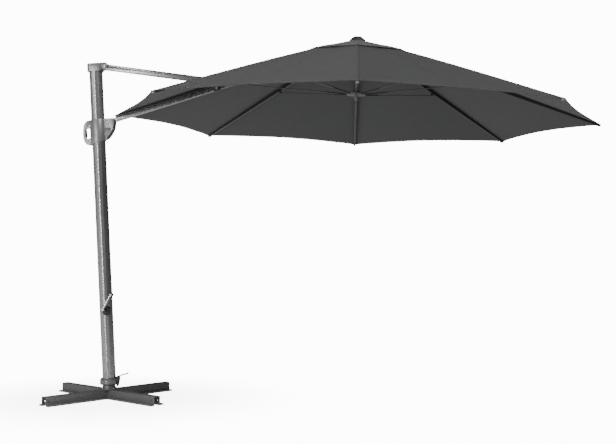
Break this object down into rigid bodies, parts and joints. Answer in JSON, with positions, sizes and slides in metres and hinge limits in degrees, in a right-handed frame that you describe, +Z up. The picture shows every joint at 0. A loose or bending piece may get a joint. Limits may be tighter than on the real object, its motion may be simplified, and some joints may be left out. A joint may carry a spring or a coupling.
{
  "type": "cantilever parasol",
  "caption": "Side-post garden parasol: leaning mast on a cross base, sliding cantilever arm with upper strut, folding eight-sided vented canopy, crank and swivel.",
  "frame": {"origin": "on the ground at the middle of the cross base, on the swivel axis", "axes": "+X from the mast along the arm, +Z up, +Y to the far side"},
  "size_m": [3.9882, 3.5, 2.6108],
  "materials": {
    "silver": "brushed, clear anodised",
    "silver_paint": "satin powder coat on cast metal",
    "grey_plastic": "satin",
    "base_paint": "satin powder coat",
    "zinc": "zinc plated",
    "black": "fine grain",
    "rib": "dark powder coat",
    "fabric": "woven, matt"
  },
  "bodies": {
    "base": {"base_bar": "base_paint", "base_leg_near": "base_paint", "base_leg_far": "base_paint", "base_plate": "base_paint", "base_post": "base_paint", "base_bolt_1": "zinc", "base_bolt_2": "zinc", "base_bolt_3": "zinc", "base_bolt_4": "zinc"},
    "mast": {"swivel_collar": "silver_paint", "mast_tube": "silver", "mast_head": "silver_paint", "strut_pin_top": "zinc", "pedal_housing": "black", "crank_housing": "black"},
    "pedal": {"foot_pedal": "zinc"},
    "crank": {"crank_spindle": "zinc", "crank_arm": "silver", "crank_knob": "black"},
    "strut": {"strut_near": "silver", "strut_far": "silver", "strut_pin_low": "zinc"},
    "arm": {"arm_tube": "silver", "arm_knuckle": "silver_paint", "arm_head": "black", "arm_saddle": "black", "rib_left": "rib", "fabric_left": "fabric"},
    "slider": {"slider_body": "grey_plastic", "slider_rim": "black", "slider_handle": "grey_plastic", "slider_pin": "zinc"},
    "trigger": {"slider_trigger": "black"},
    "hub": {"hub_crown": "black", "hub_cap": "black", "hub_pin": "zinc"},
    "runner": {"runner": "black", "runner_tube": "silver"},
    "rib_right": {"rib_right": "rib", "fabric_right": "fabric"},
    "stretcher_right": {"stretcher_right": "rib"},
    "rib_far_right": {"rib_far_right": "rib", "fabric_far_right": "fabric"},
    "stretcher_far_right": {"stretcher_far_right": "rib"},
    "rib_far": {"rib_far": "rib", "fabric_far": "fabric"},
    "stretcher_far": {"stretcher_far": "rib"},
    "rib_far_left": {"rib_far_left": "rib", "fabric_far_left": "fabric"},
    "stretcher_far_left": {"stretcher_far_left": "rib"},
    "stretcher_left": {"stretcher_left": "rib"},
    "rib_near_left": {"rib_near_left": "rib", "fabric_near_left": "fabric"},
    "stretcher_near_left": {"stretcher_near_left": "rib"},
    "rib_near": {"rib_near": "rib", "fabric_near": "fabric"},
    "stretcher_near": {"stretcher_near": "rib"},
    "rib_near_right": {"rib_near_right": "rib", "fabric_near_right": "fabric"},
    "stretcher_near_right": {"stretcher_near_right": "rib"}
  },
  "joints": [
    {"name": "mast_swivel", "type": "hinge", "parent": "base", "child": "mast", "pos_m": [0, 0, 0.12], "axis": [0, 0, 1], "range_deg": [-180, 180]},
    {"name": "pedal_hinge", "type": "hinge", "parent": "mast", "child": "pedal", "pos_m": [0.07, 0, 0.152], "axis": [0, 1, 0], "range_deg": [0, 16], "stiffness_Nm_per_rad": 2, "springref_deg": -17.19},
    {"name": "strut_swing", "type": "hinge", "parent": "mast", "child": "strut", "pos_m": [-0.03269, 0, 2.40596], "axis": [0, 1, 0], "range_deg": [0, 57]},
    {"name": "arm_swing", "type": "hinge", "parent": "strut", "child": "arm", "pos_m": [0.78094, 0, 2.24191], "axis": [0, -1, 0], "range_deg": [-1, 115]},
    {"name": "slider_travel", "type": "hinge", "parent": "arm", "child": "slider", "pos_m": [-0.0128, 0, 1.99924], "axis": [0, 1, 0], "range_deg": [-1, 58]},
    {"name": "trigger_squeeze", "type": "slide", "parent": "slider", "child": "trigger", "axis": [-0.9988, 0, -0.0488], "range_m": [0, 0.004], "stiffness_N_per_m": 600, "springref_m": -0.002},
    {"name": "canopy_fold", "type": "hinge", "parent": "arm", "child": "hub", "pos_m": [1.72302, 0, 2.55429], "axis": [0, 1, 0], "range_deg": [0, 67.6], "deforming": ["fabric_right", "fabric_far_right", "fabric_far", "fabric_far_left", "fabric_left", "fabric_near_left", "fabric_near", "fabric_near_right"]},
    {"name": "rib_hinge_right", "type": "hinge", "parent": "hub", "child": "rib_right", "pos_m": [1.87297, 0, 2.55063], "axis": [0, 1, 0], "range_deg": [-1, 68.6]},
    {"name": "stretcher_hinge_right", "type": "hinge", "parent": "rib_right", "child": "stretcher_right", "pos_m": [2.62967, 0, 2.2612], "axis": [0, -1, 0], "range_deg": [-1, 149.02]},
    {"name": "rib_hinge_far_right", "type": "hinge", "parent": "hub", "child": "rib_far_right", "pos_m": [1.85101, 0.05303, 2.55117], "axis": [-0.7069, 0.7071, 0.0173], "range_deg": [-1, 68.6]},
    {"name": "stretcher_hinge_far_right", "type": "hinge", "parent": "rib_far_right", "child": "stretcher_far_right", "pos_m": [2.38414, 0.59294, 2.2672], "axis": [0.7069, -0.7071, -0.0173], "range_deg": [-1, 149.02]},
    {"name": "rib_hinge_far", "type": "hinge", "parent": "hub", "child": "rib_far", "pos_m": [1.798, 0.075, 2.55246], "axis": [-0.9997, 0, 0.0244], "range_deg": [-1, 68.6]},
    {"name": "stretcher_hinge_far", "type": "hinge", "parent": "rib_far", "child": "stretcher_far", "pos_m": [1.79138, 0.83854, 2.28168], "axis": [0.9997, 0, -0.0244], "range_deg": [-1, 149.02]},
    {"name": "rib_hinge_far_left", "type": "hinge", "parent": "hub", "child": "rib_far_left", "pos_m": [1.74498, 0.05303, 2.55376], "axis": [-0.7069, -0.7071, 0.0173], "range_deg": [-1, 68.6]},
    {"name": "stretcher_hinge_far_left", "type": "hinge", "parent": "rib_far_left", "child": "stretcher_far_left", "pos_m": [1.19862, 0.59294, 2.29617], "axis": [0.7069, 0.7071, -0.0173], "range_deg": [-1, 149.02]},
    {"name": "stretcher_hinge_left", "type": "hinge", "parent": "arm", "child": "stretcher_left", "pos_m": [0.95821, 0, 2.26818], "axis": [0, 1, 0], "range_deg": [-1, 153.89]},
    {"name": "rib_hinge_near_left", "type": "hinge", "parent": "hub", "child": "rib_near_left", "pos_m": [1.74498, -0.05303, 2.55376], "axis": [0.7069, -0.7071, -0.0173], "range_deg": [-1, 68.6]},
    {"name": "stretcher_hinge_near_left", "type": "hinge", "parent": "rib_near_left", "child": "stretcher_near_left", "pos_m": [1.19862, -0.59294, 2.29617], "axis": [-0.7069, 0.7071, 0.0173], "range_deg": [-1, 149.02]},
    {"name": "rib_hinge_near", "type": "hinge", "parent": "hub", "child": "rib_near", "pos_m": [1.798, -0.075, 2.55246], "axis": [0.9997, 0, -0.0244], "range_deg": [-1, 68.6]},
    {"name": "stretcher_hinge_near", "type": "hinge", "parent": "rib_near", "child": "stretcher_near", "pos_m": [1.79138, -0.83854, 2.28168], "axis": [-0.9997, 0, 0.0244], "range_deg": [-1, 149.02]},
    {"name": "rib_hinge_near_right", "type": "hinge", "parent": "hub", "child": "rib_near_right", "pos_m": [1.85101, -0.05303, 2.55117], "axis": [0.7069, 0.7071, -0.0173], "range_deg": [-1, 68.6]},
    {"name": "stretcher_hinge_near_right", "type": "hinge", "parent": "rib_near_right", "child": "stretcher_near_right", "pos_m": [2.38414, -0.59294, 2.2672], "axis": [-0.7069, -0.7071, 0.0173], "range_deg": [-1, 149.02]},
    {"name": "runner_slide", "type": "slide", "parent": "hub", "child": "runner", "axis": [-0.0244, 0, -0.9997], "range_m": [-0.02, 1.251]},
    {"name": "crank_spin", "type": "hinge", "parent": "mast", "child": "crank", "pos_m": [-0.02253, 0, 0.64235], "axis": [0, -1, 0], "range_deg": [-20, 2900]}
  ],
  "couplings": [
    {"joint": "arm_swing", "follows": "strut_swing", "ratio": 2},
    {"joint": "slider_travel", "follows": "strut_swing", "ratio": 1},
    {"joint": "rib_hinge_right", "follows": "canopy_fold", "ratio": 1},
    {"joint": "stretcher_hinge_right", "follows": "canopy_fold", "ratio": 2.1748},
    {"joint": "rib_hinge_far_right", "follows": "canopy_fold", "ratio": 1},
    {"joint": "stretcher_hinge_far_right", "follows": "canopy_fold", "ratio": 2.1748},
    {"joint": "rib_hinge_far", "follows": "canopy_fold", "ratio": 1},
    {"joint": "stretcher_hinge_far", "follows": "canopy_fold", "ratio": 2.1748},
    {"joint": "rib_hinge_far_left", "follows": "canopy_fold", "ratio": 1},
    {"joint": "stretcher_hinge_far_left", "follows": "canopy_fold", "ratio": 2.1748},
    {"joint": "stretcher_hinge_left", "follows": "canopy_fold", "ratio": 2.247},
    {"joint": "rib_hinge_near_left", "follows": "canopy_fold", "ratio": 1},
    {"joint": "stretcher_hinge_near_left", "follows": "canopy_fold", "ratio": 2.1748},
    {"joint": "rib_hinge_near", "follows": "canopy_fold", "ratio": 1},
    {"joint": "stretcher_hinge_near", "follows": "canopy_fold", "ratio": 2.1748},
    {"joint": "rib_hinge_near_right", "follows": "canopy_fold", "ratio": 1},
    {"joint": "stretcher_hinge_near_right", "follows": "canopy_fold", "ratio": 2.1748},
    {"joint": "runner_slide", "follows": "canopy_fold", "m_per_rad": 1.0433},
    {"joint": "crank_spin", "follows": "canopy_fold", "ratio": 42.604}
  ]
}
